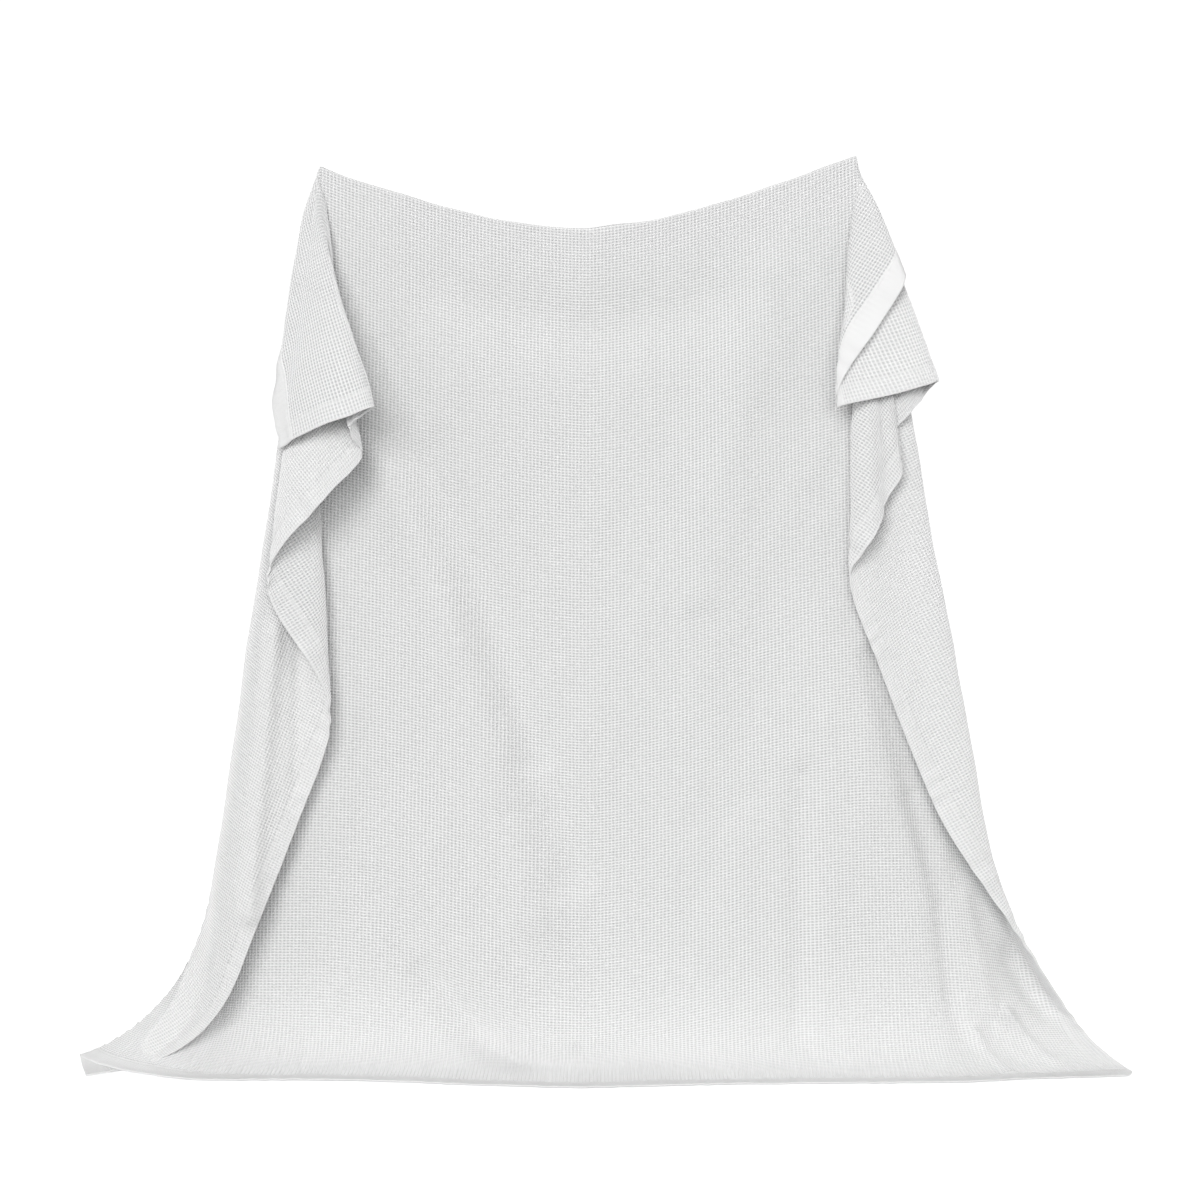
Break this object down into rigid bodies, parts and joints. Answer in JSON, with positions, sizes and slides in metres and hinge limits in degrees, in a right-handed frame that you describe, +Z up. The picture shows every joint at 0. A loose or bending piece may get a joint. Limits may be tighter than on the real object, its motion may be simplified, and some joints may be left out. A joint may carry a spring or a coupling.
{
  "type": "waffle weave cotton blanket",
  "caption": "Square white waffle weave cotton blanket, hung over its top fold with folded side cascades and a foot that spreads over the floor.",
  "frame": {"origin": "lowest point of the sagging top fold, midway between the two places the cloth hangs from", "axes": "+X across the blanket to the viewer's right, +Y away from the viewer, +Z up"},
  "size_m": [2.1998, 0.3433, 1.9743],
  "materials": {
    "waffle_cotton": "matt white cotton, waffle weave"
  },
  "bodies": {
    "root": {"blanket": "waffle_cotton"}
  },
  "joints": []
}
